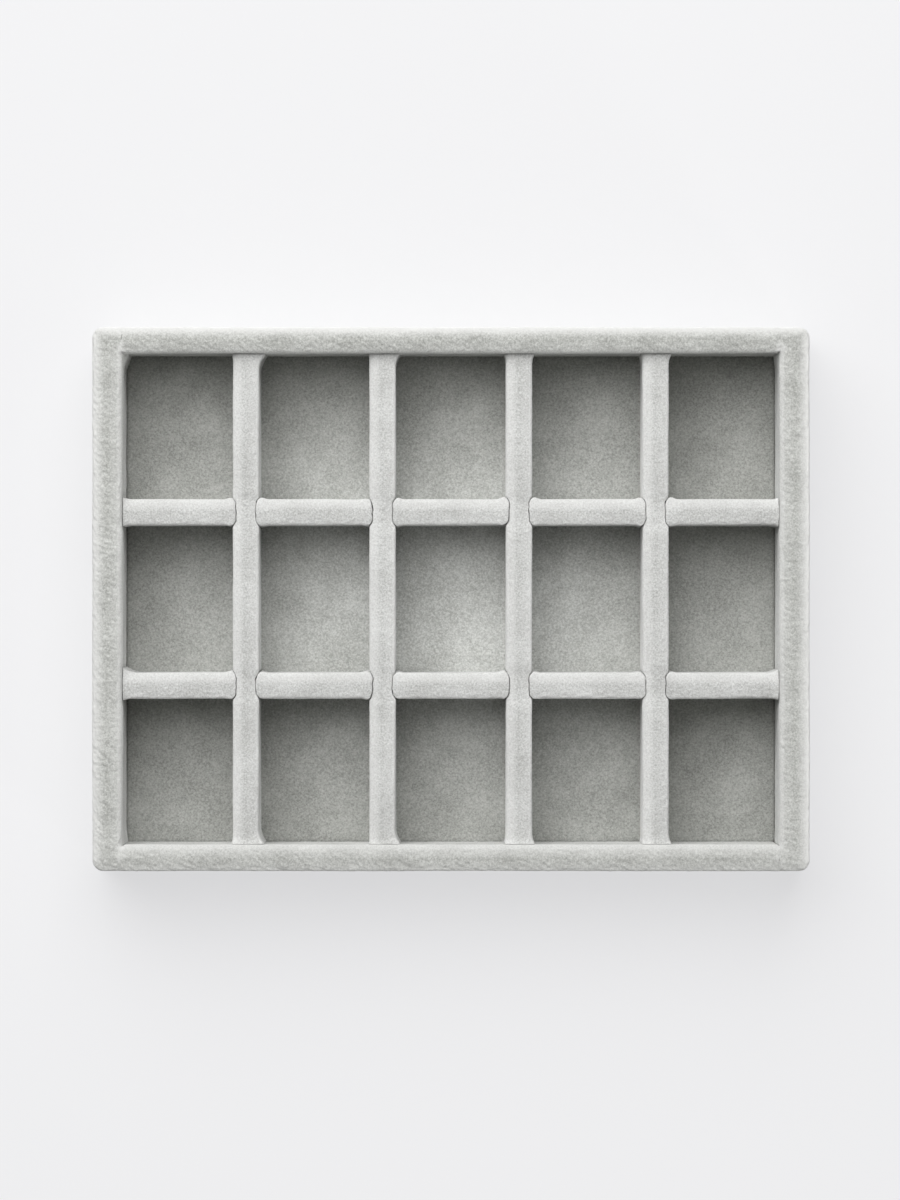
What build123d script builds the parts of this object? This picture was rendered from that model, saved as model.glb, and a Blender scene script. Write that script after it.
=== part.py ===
"""Velour drawer insert: a shallow padded tray with a lift-out lattice of padded dividers.

All sizes are in millimetres. The origin is the middle of the underside, +X runs along the
long side, +Y towards the back and +Z up.
"""

import os

from build123d import *

os.makedirs("parts", exist_ok=True)

# Overall size
case_width = 155.0
case_depth = 117.5
case_height = 25.0
side_wall = 6.5
end_wall = 5.3
corner_round = 3.0
rim_round = 2.0
lining_round = 1.2

# Sheet stock
velour = 0.7
underside_felt = 0.4
base_board = 2.0
wall_board = 2.4
floor_card = 1.0
foam_over_board = 1.35
turn_in = 12.0
underside_margin = 2.0

# Dividers
columns = 5
rows = 3
divider_width = 5.7
neck_width = 4.0
divider_core = 1.6
divider_round = 1.6
slot_corner = 1.2
rim_stand = 2.5
fit_gap = 0.2

# Heights worked out from the stock
fabric_bottom = underside_felt
board_bottom = fabric_bottom + velour
board_top = board_bottom + base_board
card_top = board_top + floor_card
floor_top = card_top + velour
divider_height = case_height - rim_stand - floor_top
half_height = divider_height / 2
wall_board_top = case_height - velour - foam_over_board

# Plan sizes worked out from the walls
clear_width = case_width - 2 * side_wall
clear_depth = case_depth - 2 * end_wall
side_foam = (side_wall - wall_board) / 2 - velour
end_foam = (end_wall - wall_board) / 2 - velour
board_width = case_width - 2 * (velour + side_foam)
board_depth = case_depth - 2 * (velour + end_foam)
side_board_x = (board_width - wall_board) / 2
end_board_y = (board_depth - wall_board) / 2
end_board_length = board_width - 2 * wall_board

# Lattice positions worked out from equal compartments
cell_width = (clear_width - (columns - 1) * divider_width) / columns
cell_depth = (clear_depth - (rows - 1) * divider_width) / rows
column_pitch = cell_width + divider_width
row_pitch = cell_depth + divider_width
long_xs = [(i + 1 - columns / 2) * column_pitch for i in range(columns - 1)]
cross_ys = [(i + 1 - rows / 2) * row_pitch for i in range(rows - 1)]
slot_width = neck_width + 2 * fit_gap
divider_foam = (divider_width - divider_core) / 2 - velour

SIDES = {"left": -1, "right": 1}
ENDS = {"front": -1, "back": 1}


def save(part, name):
    """Labels a finished piece and writes it as its own file."""
    part.label = name
    export_step(part, f"parts/{name}.step")


def rim_ring(inset, bottom):
    """The ring of all four walls, round-topped inside and out, drawn in by an inset."""
    top = case_height - inset
    with BuildPart() as ring:
        with BuildSketch(Plane.XY.offset(bottom)):
            RectangleRounded(case_width - 2 * inset, case_depth - 2 * inset, corner_round - inset)
            Rectangle(clear_width + 2 * inset, clear_depth + 2 * inset, mode=Mode.SUBTRACT)
        extrude(amount=top - bottom)
        fillet(ring.faces().sort_by(Axis.Z)[-1].outer_wire().edges(), rim_round - inset)
        fillet(ring.faces().sort_by(Axis.Z)[-1].inner_wires().edges(), lining_round - inset)
    return ring.part


def outside_band(low, high):
    """The fabric on the outer faces alone, between two heights."""
    with BuildPart() as band:
        with BuildSketch(Plane.XY.offset(low)):
            RectangleRounded(case_width, case_depth, corner_round)
            inner = corner_round - velour
            RectangleRounded(case_width - 2 * velour, case_depth - 2 * velour, inner, mode=Mode.SUBTRACT)
        extrude(amount=high - low)
    return band.part


outer_ring = rim_ring(0, board_top)
skirt = outside_band(fabric_bottom, board_top)
foam_ring = rim_ring(velour, board_bottom)

# Wall fabric before it is cut into its four covers
with BuildPart() as wall_fabric:
    add(outer_ring)
    add(skirt)
    add(foam_ring, mode=Mode.SUBTRACT)

# Wall foam before it is cut into its four strips
with BuildPart() as wall_padding:
    add(foam_ring)
    with BuildSketch(Plane.XY.offset(board_bottom)):
        Rectangle(board_width, board_depth)
    extrude(amount=base_board, mode=Mode.SUBTRACT)
    with BuildSketch(Plane.XY.offset(board_top)):
        Rectangle(board_width, board_depth)
        Rectangle(board_width - 2 * wall_board, board_depth - 2 * wall_board, mode=Mode.SUBTRACT)
    extrude(amount=wall_board_top - board_top, mode=Mode.SUBTRACT)

# Side walls: each cover wraps the corners, and its foam runs the full depth
foam_split = clear_width / 2 + velour
flange_reach = case_width / 2 - turn_in
for side, sign in SIDES.items():
    with BuildPart() as side_velour:
        add(wall_fabric.part)
        with BuildSketch(Plane.XY):
            with Locations((sign * (clear_width / 2 + side_wall / 2), 0)):
                Rectangle(side_wall, case_depth)
        extrude(amount=case_height, mode=Mode.INTERSECT)
        with BuildSketch(Plane.XY.offset(fabric_bottom)):
            RectangleRounded(case_width, case_depth, corner_round)
            with Locations((sign * (case_width - turn_in) / 2, 0)):
                Rectangle(turn_in, case_depth, mode=Mode.INTERSECT)
            with Locations((0, case_depth / 2), (0, -case_depth / 2)):
                Rectangle(clear_width, 2 * velour, mode=Mode.SUBTRACT)
        extrude(amount=velour)
    save(side_velour.part, f"{side}_wall_velour")

    with BuildPart() as side_padding:
        add(wall_padding.part)
        with BuildSketch(Plane.XY):
            with Locations((sign * (foam_split + case_width / 2) / 2, 0)):
                Rectangle(case_width / 2 - foam_split, case_depth)
        extrude(amount=case_height, mode=Mode.INTERSECT)
    save(side_padding.part, f"{side}_wall_foam")

    with BuildPart() as side_board:
        with BuildSketch(Plane.XY.offset(board_top)):
            with Locations((sign * side_board_x, 0)):
                Rectangle(wall_board, board_depth)
        extrude(amount=wall_board_top - board_top)
    save(side_board.part, f"{side}_wall_board")

# End walls: each cover and strip stands between the side walls
for end, sign in ENDS.items():
    with BuildPart() as end_velour:
        add(wall_fabric.part)
        with BuildSketch(Plane.XY):
            with Locations((0, sign * (clear_depth / 2 + end_wall / 2))):
                Rectangle(clear_width, end_wall)
        extrude(amount=case_height, mode=Mode.INTERSECT)
        with BuildSketch(Plane.XY.offset(fabric_bottom)):
            with Locations((0, sign * (case_depth - turn_in) / 2)):
                Rectangle(2 * flange_reach, turn_in)
        extrude(amount=velour)
    save(end_velour.part, f"{end}_wall_velour")

    with BuildPart() as end_padding:
        add(wall_padding.part)
        with BuildSketch(Plane.XY):
            with Locations((0, sign * (clear_depth / 2 + end_wall / 2))):
                Rectangle(2 * foam_split, end_wall)
        extrude(amount=case_height, mode=Mode.INTERSECT)
    save(end_padding.part, f"{end}_wall_foam")

    with BuildPart() as end_board:
        with BuildSketch(Plane.XY.offset(board_top)):
            with Locations((0, sign * end_board_y)):
                Rectangle(end_board_length, wall_board)
        extrude(amount=wall_board_top - board_top)
    save(end_board.part, f"{end}_wall_board")

# Base board that the wall boards stand on
with BuildPart() as base:
    with BuildSketch(Plane.XY.offset(board_bottom)):
        Rectangle(board_width, board_depth)
    extrude(amount=base_board)
save(base.part, "base_board")

# Underside felt: thick in the middle, thin over the turned-in fabric
with BuildPart() as underside:
    with BuildSketch(Plane.XY):
        margins = 2 * underside_margin
        RectangleRounded(case_width - margins, case_depth - margins, corner_round - underside_margin)
    extrude(amount=underside_felt)
    with BuildSketch(Plane.XY.offset(underside_felt)):
        Rectangle(case_width - 2 * turn_in, case_depth - 2 * turn_in)
    extrude(amount=velour)
save(underside.part, "underside_felt")

# Floor card, and the fabric wrapped over its top and edges
with BuildPart() as card:
    with BuildSketch(Plane.XY.offset(board_top)):
        Rectangle(clear_width - 2 * velour, clear_depth - 2 * velour)
    extrude(amount=floor_card)
save(card.part, "floor_card")

with BuildPart() as floor_fabric:
    with BuildSketch(Plane.XY.offset(board_top)):
        Rectangle(clear_width, clear_depth)
    extrude(amount=floor_card + velour)
    add(card.part, mode=Mode.SUBTRACT)
save(floor_fabric.part, "floor_velour")


def slot_heights(slot_from_top, inset):
    """Lowest and highest height of a strip's slots above the floor."""
    if slot_from_top:
        return half_height - fit_gap / 2 - inset, divider_height
    return 0, half_height + fit_gap / 2 + inset


def divider_body(plane, length, crossings, slot_from_top, inset):
    """A strip's solid with its round top, its slots and its necks, drawn in by an inset."""
    top = divider_height - inset
    slot_low, slot_high = slot_heights(slot_from_top, inset)
    shoulder = 1.5 * fit_gap + inset
    neck_low, neck_high = (0, half_height + shoulder) if slot_from_top else (half_height - shoulder, top)
    along = Axis(plane.origin, plane.x_dir)
    with BuildPart() as strip:
        with BuildSketch(Plane(plane.origin, x_dir=plane.y_dir, z_dir=plane.x_dir)) as profile:
            with Locations((0, top / 2)):
                Rectangle(divider_width - 2 * inset, top)
            fillet(profile.vertices().group_by(Axis.Y)[-1], divider_round - inset)
        extrude(amount=length / 2 - inset, both=True)

        with BuildSketch(plane.offset(slot_low)):
            with Locations(*[(at, 0) for at in crossings]):
                Rectangle(slot_width + 2 * inset, 2 * divider_width)
        extrude(amount=slot_high - slot_low, mode=Mode.SUBTRACT)
        slot_faces = strip.faces().filter_by(along).sort_by(along)[1:-1]
        padded_edges = slot_faces.edges().filter_by(Axis.Z)
        if slot_from_top:
            padded_edges = [edge for group in slot_faces.edges().group_by(Axis.Z)[1:] for edge in group]
        fillet(padded_edges, slot_corner - inset)

        # Each neck is the shape of the other strip's rounded ends, with the fit gap round it
        notch_along = divider_width + 2 * (fit_gap + inset)
        notch_across = 2 * divider_width
        notch_shift = neck_width / 2 - inset + notch_across / 2
        with BuildSketch(plane.offset(neck_low)):
            with Locations(*[(at, shift) for at in crossings for shift in (notch_shift, -notch_shift)]):
                RectangleRounded(notch_along, notch_across, slot_corner + fit_gap + inset)
        extrude(amount=neck_high - neck_low, mode=Mode.SUBTRACT)
    return strip.part


def make_divider(name, plane, length, crossings, slot_from_top):
    """Core, foam and fabric of one divider strip."""
    body = divider_body(plane, length, crossings, slot_from_top, 0)
    padded = divider_body(plane, length, crossings, slot_from_top, velour)
    core_top = divider_height - velour - divider_foam
    slot_low, slot_high = slot_heights(slot_from_top, velour)

    with BuildPart() as core:
        with BuildSketch(plane):
            Rectangle(length - 2 * velour, divider_core)
        extrude(amount=core_top)
        with BuildSketch(plane.offset(slot_low)):
            with Locations(*[(at, 0) for at in crossings]):
                Rectangle(slot_width + 2 * velour, divider_core)
        extrude(amount=slot_high - slot_low, mode=Mode.SUBTRACT)
    save(core.part, f"{name}_core")

    with BuildPart() as padding:
        add(padded)
        add(core.part, mode=Mode.SUBTRACT)
    save(padding.part, f"{name}_foam")

    with BuildPart() as cover:
        add(body)
        add(padded, mode=Mode.SUBTRACT)
    save(cover.part, f"{name}_velour")


# Long dividers: front to back, slotted from below over the cross dividers
for number, x in enumerate(long_xs, start=1):
    seat = Plane((x, 0, floor_top), x_dir=(0, 1, 0), z_dir=(0, 0, 1))
    make_divider(f"long_divider_{number}", seat, clear_depth - 2 * fit_gap, cross_ys, False)

# Cross dividers: side to side, slotted from above to take the long dividers
for number, y in enumerate(cross_ys, start=1):
    seat = Plane((0, y, floor_top), x_dir=(1, 0, 0), z_dir=(0, 0, 1))
    make_divider(f"cross_divider_{number}", seat, clear_width - 2 * fit_gap, long_xs, True)

print(f"compartment {cell_width:.2f} x {cell_depth:.2f} mm, floor at {floor_top:.2f} mm")
print(f"divider height {divider_height:.2f} mm, long dividers at x {[round(x, 2) for x in long_xs]}")
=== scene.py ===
"""Velour drawer insert: how its covers, padding, floor and boards look.

Shapes are worked out in millimetres in the frame of the CAD part, and become metres when a mesh is
made. Each soft piece starts as the skin of a lattice of cells, which settles onto a rounded shape,
gets the relief of its pile or pores, and is then hollowed where something lies inside it.
"""

import itertools
import math
from dataclasses import dataclass, field

import bpy
import numpy as np
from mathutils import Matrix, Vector


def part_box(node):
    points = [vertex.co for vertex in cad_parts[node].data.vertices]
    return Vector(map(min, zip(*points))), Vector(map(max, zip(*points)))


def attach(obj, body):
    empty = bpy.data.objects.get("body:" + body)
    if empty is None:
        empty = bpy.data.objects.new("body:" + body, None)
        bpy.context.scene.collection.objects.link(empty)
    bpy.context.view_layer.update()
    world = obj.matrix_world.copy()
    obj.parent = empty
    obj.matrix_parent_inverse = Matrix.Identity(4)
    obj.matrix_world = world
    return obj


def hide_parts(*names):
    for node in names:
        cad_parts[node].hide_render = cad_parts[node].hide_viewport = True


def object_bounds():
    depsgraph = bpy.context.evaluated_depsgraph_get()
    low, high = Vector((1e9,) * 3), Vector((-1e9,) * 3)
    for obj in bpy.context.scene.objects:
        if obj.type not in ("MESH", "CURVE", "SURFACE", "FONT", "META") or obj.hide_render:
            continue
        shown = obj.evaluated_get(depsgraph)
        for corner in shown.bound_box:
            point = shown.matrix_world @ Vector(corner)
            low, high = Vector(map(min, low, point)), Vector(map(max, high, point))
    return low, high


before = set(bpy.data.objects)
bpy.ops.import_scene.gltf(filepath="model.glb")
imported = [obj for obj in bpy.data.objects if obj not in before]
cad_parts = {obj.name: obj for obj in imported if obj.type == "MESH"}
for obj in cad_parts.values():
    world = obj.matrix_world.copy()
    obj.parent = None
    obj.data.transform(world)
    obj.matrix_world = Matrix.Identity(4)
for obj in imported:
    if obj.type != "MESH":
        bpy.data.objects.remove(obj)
cad_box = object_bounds()
MM_PER_M = 1000


def box_mm(node):
    """Lowest and highest corner of a CAD node, in millimetres."""
    low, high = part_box(node)
    return np.array(low) * MM_PER_M, np.array(high) * MM_PER_M


# Sizes that the CAD part settles
CASE_X, CASE_Y, RIM_TOP = np.array(cad_box[1]) * MM_PER_M
LEFT_LOW, LEFT_HIGH = box_mm("left_wall_velour")
FOAM_LOW, FOAM_HIGH = box_mm("left_wall_foam")
BASE_LOW, BASE_HIGH = box_mm("base_board")
CARD_LOW, CARD_HIGH = box_mm("floor_card")
CLEAR_X, CLEAR_Y, FLOOR_TOP = box_mm("floor_velour")[1]
FELT_LOW, FELT_HIGH = box_mm("underside_felt")
FABRIC_LOW = LEFT_LOW[2]
VELOUR = FOAM_LOW[2] - FABRIC_LOW
FLANGE_X = -LEFT_HIGH[0]
FLANGE_Y = box_mm("back_wall_velour")[0][1]
DIVIDER_LOW, DIVIDER_HIGH = box_mm("long_divider_1_velour")
CORE_LOW, CORE_HIGH = box_mm("long_divider_1_core")
DIVIDER_HALF = (DIVIDER_HIGH[0] - DIVIDER_LOW[0]) / 2
CORE_HALF = (CORE_HIGH[0] - CORE_LOW[0]) / 2
DIVIDER_TOP = DIVIDER_HIGH[2]
LONG_XS = [sum(box_mm(f"long_divider_{n}_velour"))[0] / 2 for n in (1, 2, 3, 4)]
CROSS_YS = [sum(box_mm(f"cross_divider_{n}_velour"))[1] / 2 for n in (1, 2)]
LONG_HALF = DIVIDER_HIGH[1]
CROSS_HALF = box_mm("cross_divider_1_velour")[1][0]
HALF_LAP = (FLOOR_TOP + DIVIDER_TOP) / 2

# Sizes of the CAD part that no box shows
SLOT_HALF = 2.2
FIT_GAP = 0.2

# The tray's corners, which the photo shows a little tighter than the CAD part's 3 mm
CORNER_ROUND = 2.4

# Roundings of the covers' edges, and tighter ones where the pile lies combed over an edge
RIM_ROUND = 1.7
LINING_ROUND = 1.2
DIVIDER_ROUND = 1.0
COMBED_RIM_ROUND = 0.4
COMBED_LINING_ROUND = 0.75
COMBED_DIVIDER_ROUND = 0.75

# Roundings of a divider's cover: at its slots, where another presses it in, and at its ends
PAD_CORNER = 1.7
NECK_ROUND = 0.4
END_ROUND = 0.12

# How far the padded tops fall from their middle line to their edges, and the most, in such falls
RIM_CROWN = 0.85
DIVIDER_CROWN = 0.55
CROWN_LIMIT = 1.4

# How a divider's cover rises at its very ends, and how a long one's dips and tightens at crossings
END_LIFT = 0.25
END_LIFT_REACH = 1.2
CROSSING_DIP = 0.32
CROSSING_TIGHTENING = 0.55
CROSSING_REACH = 2.6

# The gap between covers that press on each other, in fit gaps, and how far it varies
PRESSED_GAP = 0.6
GAP_SPREAD = 0.3

# How far the linings stand into the tray: at the end walls, at the side walls, and most in the left
# and in the right corners
END_SLACK = 0.43
SIDE_SLACK = 0.12
CORNER_SLACK = (1.1, 0.35)

# The size of the smallest lumps of pile, and how high they stand
PILE_LUMP = 0.42
PILE_HEIGHT = 0.1

# How far the dividers' ends stay clear of the linings, and a padding inside its cover
LONG_END_GAP = 0.05
CROSS_END_GAP = 0.08
SNUG = 0.02

# Cell sizes of the lattices that the covers are made from
DIVIDER_CELL = 0.26
WALL_CELL = 0.27
TURNED_IN_CELL = 1.2
FLOOR_CELL = 0.45
FELT_CELL = 0.6

# Heights on the cloth maps, which pieces and the insides cut from them share
PIECE_ROWS = (0.0, 0.8)
INSIDE_ROWS = (0.8, 1.0)

dice = np.random.default_rng(23)


# How shapes are made


def round_max(first, second, radius):
    """Where both shapes are, with an edge of that radius between them. Inside is below zero."""
    tucked = np.minimum(np.maximum(first, second), -radius)
    return tucked + np.hypot(np.maximum(first + radius, 0), np.maximum(second + radius, 0))


def ease(share):
    """A smooth way from 0 to 1."""
    share = np.clip(share, 0, 1)
    return share * share * (3 - 2 * share)


def block(points, low, high):
    """A plain block as a shape."""
    return np.maximum(np.array(low) - points, points - np.array(high)).max(axis=1)


def mottle(points, size, seed):
    """Smooth random heights from -1 to 1 in lumps of that size, which may differ by axis."""
    scaled = points / size
    cell = np.floor(scaled).astype(np.int64)
    part = ease(scaled - cell)
    total = np.zeros(len(points))
    for corner in itertools.product((0, 1), repeat=3):
        spot = cell + corner
        mixed = spot[:, 0] * 73856093 ^ spot[:, 1] * 19349663 ^ spot[:, 2] * 83492791 ^ seed * 7919
        mixed = (mixed ^ (mixed >> 15)) * 2246822519
        mixed = (mixed ^ (mixed >> 13)) * 3266489917
        height = ((mixed >> 16) & 0xFFFF) / 32767.5 - 1
        total += height * np.where(corner, part, 1 - part).prod(axis=1)
    return total


def planes(*stretches):
    """Lattice planes along one axis. Each stretch says where it starts and ends, and its step."""
    runs = [
        np.linspace(low, high, max(1, round((high - low) / step)) + 1)
        for low, high, step in stretches
        if high > low
    ]
    return np.unique(np.concatenate(runs).round(4))


def middles(edges):
    """The middle of each cell between lattice planes."""
    return (edges[1:] + edges[:-1]) / 2


@dataclass
class Skin:
    """Points and outward quads, with each quad corner's place on the flat cloth."""

    points: np.ndarray
    quads: np.ndarray
    flat: np.ndarray
    islands: np.ndarray
    # Per point: painted sheen, how far the shading normal turns up, and painted shade on the floor
    painted_sheen: np.ndarray | None = None
    raised: np.ndarray | None = None
    pressed_or_painted_shade: np.ndarray | None = None


def lattice_skin(edges, filled):
    """The skin of the filled cells of a lattice. A quad's island is its side and its layer."""
    strides = np.array([len(edges[1]) * len(edges[2]), len(edges[2]), 1])
    padded = np.pad(filled, 1)
    quads, flats, islands = [], [], []
    for axis in range(3):
        others = [a for a in range(3) if a != axis]
        cells = np.moveaxis(padded, axis, 0)[:, 1:-1, 1:-1]
        for facing, shown in ((1, cells[:-1] & ~cells[1:]), (0, cells[1:] & ~cells[:-1])):
            place = np.argwhere(shown)
            ways = [strides[others[0]], strides[others[1]]]
            turns = np.array([[0, 0], [1, 0], [1, 1], [0, 1]])
            if bool(facing) == (axis == 1):
                turns = turns[::-1]
            quads.append((place @ strides[[axis, *others]])[:, None] + turns @ ways)
            spots = place[:, None, 1:] + turns
            along, up = edges[others[0]], edges[others[1]]
            flats.append(np.stack([along[spots[..., 0]], up[spots[..., 1]]], -1))
            islands.append(place[:, 0] * 6 + axis * 2 + facing)
    used, quads = np.unique(np.concatenate(quads), return_inverse=True)
    grid = used[:, None] // strides % np.array([len(e) for e in edges])
    points = np.column_stack([edges[axis][grid[:, axis]] for axis in range(3)])
    return Skin(points, quads.reshape(-1, 4), np.concatenate(flats), np.concatenate(islands))


def box_skin(low, high):
    """The skin of one plain block, for cutting with."""
    edges = [np.array([a, b], float) for a, b in zip(low, high)]
    return lattice_skin(edges, np.ones((1, 1, 1), bool))


def lean_of(shape, points):
    """A shape's value at each point, and the direction in which it grows."""
    reach = 1e-4
    here = shape(points)
    lean = np.column_stack([(shape(points + reach * unit) - here) / reach for unit in np.eye(3)])
    return here, lean


def settle(skin, shape, rounds=5):
    """Moves a skin's points onto a shape, by small steps so that none jumps past it."""
    longest_step, least_lean = 0.8, 0.25
    for _ in range(rounds):
        height, lean = lean_of(shape, skin.points)
        share = height / np.maximum((lean**2).sum(axis=1), least_lean)
        skin.points = skin.points - lean * np.clip(share, -longest_step, longest_step)[:, None]
    return skin


def raise_relief(skin, shape, relief, painted_sheen_of=None):
    """Moves a settled skin's points out by the relief, and notes its painted sheen.

    Where more sheen is painted, the shading normal is turned further up to take light from above,
    but not on upright faces.
    """
    lean = lean_of(shape, skin.points)[1]
    outward = lean / np.maximum(np.linalg.norm(lean, axis=1), 1e-6)[:, None]
    if painted_sheen_of is not None:
        skin.painted_sheen = painted_sheen_of(skin.points, outward)
        upward = ease((outward[:, 2] - 0.1) / 0.45)
        skin.raised = 0.1 + 4.0 * skin.painted_sheen**1.5 * upward
    skin.points = skin.points + outward * relief(skin.points, outward)[:, None]
    return skin


def cloth_places(skin, rows):
    """Where each quad corner lies on the cloth: islands in rows, between two heights of the map."""
    low, high = rows
    margin = 1.0
    rects = []
    for island in np.unique(skin.islands):
        mine = np.flatnonzero(skin.islands == island)
        spots = skin.flat[mine]
        if np.ptp(spots[..., 1]) > np.ptp(spots[..., 0]):
            spots = spots[..., ::-1]
        spots = spots - spots.reshape(-1, 2).min(axis=0)
        rects.append((mine, spots, *spots.reshape(-1, 2).max(axis=0)))
    rects.sort(key=lambda rect: -rect[3])
    width = max(rect[2] for rect in rects) + 2 * margin
    places = np.zeros_like(skin.flat)
    across, up, tall = margin, margin, 0.0
    for mine, spots, wide, high_rect in rects:
        if across + wide + margin > width and across > margin:
            across, up, tall = margin, up + tall + margin, 0.0
        places[mine] = spots + (across, up)
        across, tall = across + wide + margin, max(tall, high_rect)
    scale = min(1 / width, (high - low) / (up + tall + margin))
    return places * scale + (0, low)


def put(name, data):
    """A new object with that data, in the scene."""
    thing = bpy.data.objects.new(name, data)
    bpy.context.scene.collection.objects.link(thing)
    return thing


def make_piece(name, skin, rows=PIECE_ROWS):
    """A mesh object of a skin, in metres."""
    mesh = bpy.data.meshes.new(name)
    mesh.vertices.add(len(skin.points))
    mesh.vertices.foreach_set("co", (skin.points / MM_PER_M).ravel())
    mesh.loops.add(skin.quads.size)
    mesh.loops.foreach_set("vertex_index", skin.quads.ravel())
    mesh.polygons.add(len(skin.quads))
    mesh.polygons.foreach_set("loop_start", np.arange(0, skin.quads.size, 4))
    mesh.polygons.foreach_set("use_smooth", np.ones(len(skin.quads), bool))
    cloth_map = mesh.uv_layers.new(name="OFBake")
    cloth_map.uv.foreach_set("vector", cloth_places(skin, rows).ravel())
    # Painted sheen, the shading normal's upturn and the floor's painted shade go on as attributes
    for pile in ("painted_sheen", "raised", "pressed_or_painted_shade"):
        values = getattr(skin, pile)
        if values is not None:
            mesh.attributes.new(pile, "FLOAT", "POINT").data.foreach_set("value", values)
    mesh.update(calc_edges=True)
    return put(name, mesh)


def hollow(piece, *skins):
    """Cuts the insides of skins out of a piece."""
    for skin in skins:
        cutter = make_piece("cutter", skin, INSIDE_ROWS)
        cut = piece.modifiers.new("hollow", "BOOLEAN")
        cut.operation = "DIFFERENCE"
        cut.solver = "MANIFOLD"
        cut.object = cutter
        whole = piece.data
        shaped = piece.evaluated_get(bpy.context.evaluated_depsgraph_get())
        piece.data = bpy.data.meshes.new_from_object(shaped)
        piece.modifiers.clear()
        bpy.data.objects.remove(cutter)
        bpy.data.meshes.remove(whole)
    piece.data.name = piece.name
    piece.data.set_sharp_from_angle(angle=math.radians(70))
    return piece


# The divider strips


@dataclass
class Strip:
    """One divider strip. Along is the axis it runs on, and place is where it stands on the other.

    A flare says where it is, which way is back along the strip, on which side it is, how far it
    stands out, how far back it reaches, and the length of its full tip.
    """

    name: str
    body: str
    along: int
    place: float
    half_length: float
    crossings: list
    open_above: bool
    flares: list = field(default_factory=list)


def local(strip, points):
    """Each point's place along the strip, across it, and its height."""
    return points[:, strip.along], points[:, 1 - strip.along] - strip.place, points[:, 2]


def half_width(strip, along, side):
    """How far a strip's cover stands out to one side of its middle, with the flares at its ends."""
    wide = np.full_like(along, DIVIDER_HALF)
    for at, way, flare_side, amount, reach, tip in strip.flares:
        if flare_side == side:
            back = (at - along) * way
            near = back > -SLOT_HALF
            share = (reach - back) / (reach - tip)
            shape = ease(share) if tip > 0 else np.clip(share, 0, 1) ** 2
            wide += np.where(near, amount * shape, 0)
    return wide


def nearest(places, values):
    """How far each value is from the nearest place."""
    return np.min([abs(values - at) for at in places], axis=0)


def press_marks(points):
    """Uneven pile where covers press on each other at the crossings, the same at every height.

    The first row moves both covers alike, and the second says how loosely they meet, -1 to 1.
    """
    reach = 5.5
    near = (nearest(LONG_XS, points[:, 0]) < reach) & (nearest(CROSS_YS, points[:, 1]) < reach)
    plan = points[near] * (1, 1, 0)
    marks = np.zeros((2, len(points)))
    marks[0, near] = 0.11 * mottle(plan, 0.8, 61) + 0.07 * mottle(plan, 0.4, 62)
    marks[1, near] = mottle(plan, 0.6, 63)
    return marks


def sides_of(strip, points, inset):
    """The two long faces of a strip, and how far they stand from its middle."""
    along, across, _ = local(strip, points)
    wide = np.where(across > 0, half_width(strip, along, 1), half_width(strip, along, -1))
    return abs(across) - wide + inset, wide


def pads_of(strip, points, marks, inset=0.0):
    """Plan of a strip at the height of its slots: a row of pads with rounded ends."""
    along, _, _ = local(strip, points)
    pads, _ = sides_of(strip, points, inset)
    for crossing in strip.crossings:
        slot = SLOT_HALF + inset - abs(along - crossing)
        pads = round_max(pads, slot, PAD_CORNER - inset)
    return pads + marks


def above_floor(up):
    """Grows from 0 at the floor to 1 a little above it, where a lining is free to stand out."""
    return ease((up - FLOOR_TOP - 0.1) / 0.8)


def end_slack(points):
    """How far the end walls' lining stands into the tray, up to where the long dividers end."""
    return END_SLACK * above_floor(points[:, 2])


def side_slack(points):
    """How far the side walls' lining stands into the tray: fullest low down in the corners."""
    x, y, up = points.T
    fullest = np.where(x < 0, *CORNER_SLACK) * np.where(y < 0, 0.3, 1.0)
    corner = fullest * ease(1 - (CLEAR_Y - abs(y)) / 4.2) * ease((RIM_TOP - 1 - up) / 4)
    between = SIDE_SLACK * ease((nearest(CROSS_YS, y) - 3.4) / 1.5)
    return (between + corner) * above_floor(up)


def slot_edge_of(strip, inset):
    """The height at which a strip's slots end."""
    return HALF_LAP + (-1 if strip.open_above else 1) * (FIT_GAP / 2 + inset)


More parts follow.
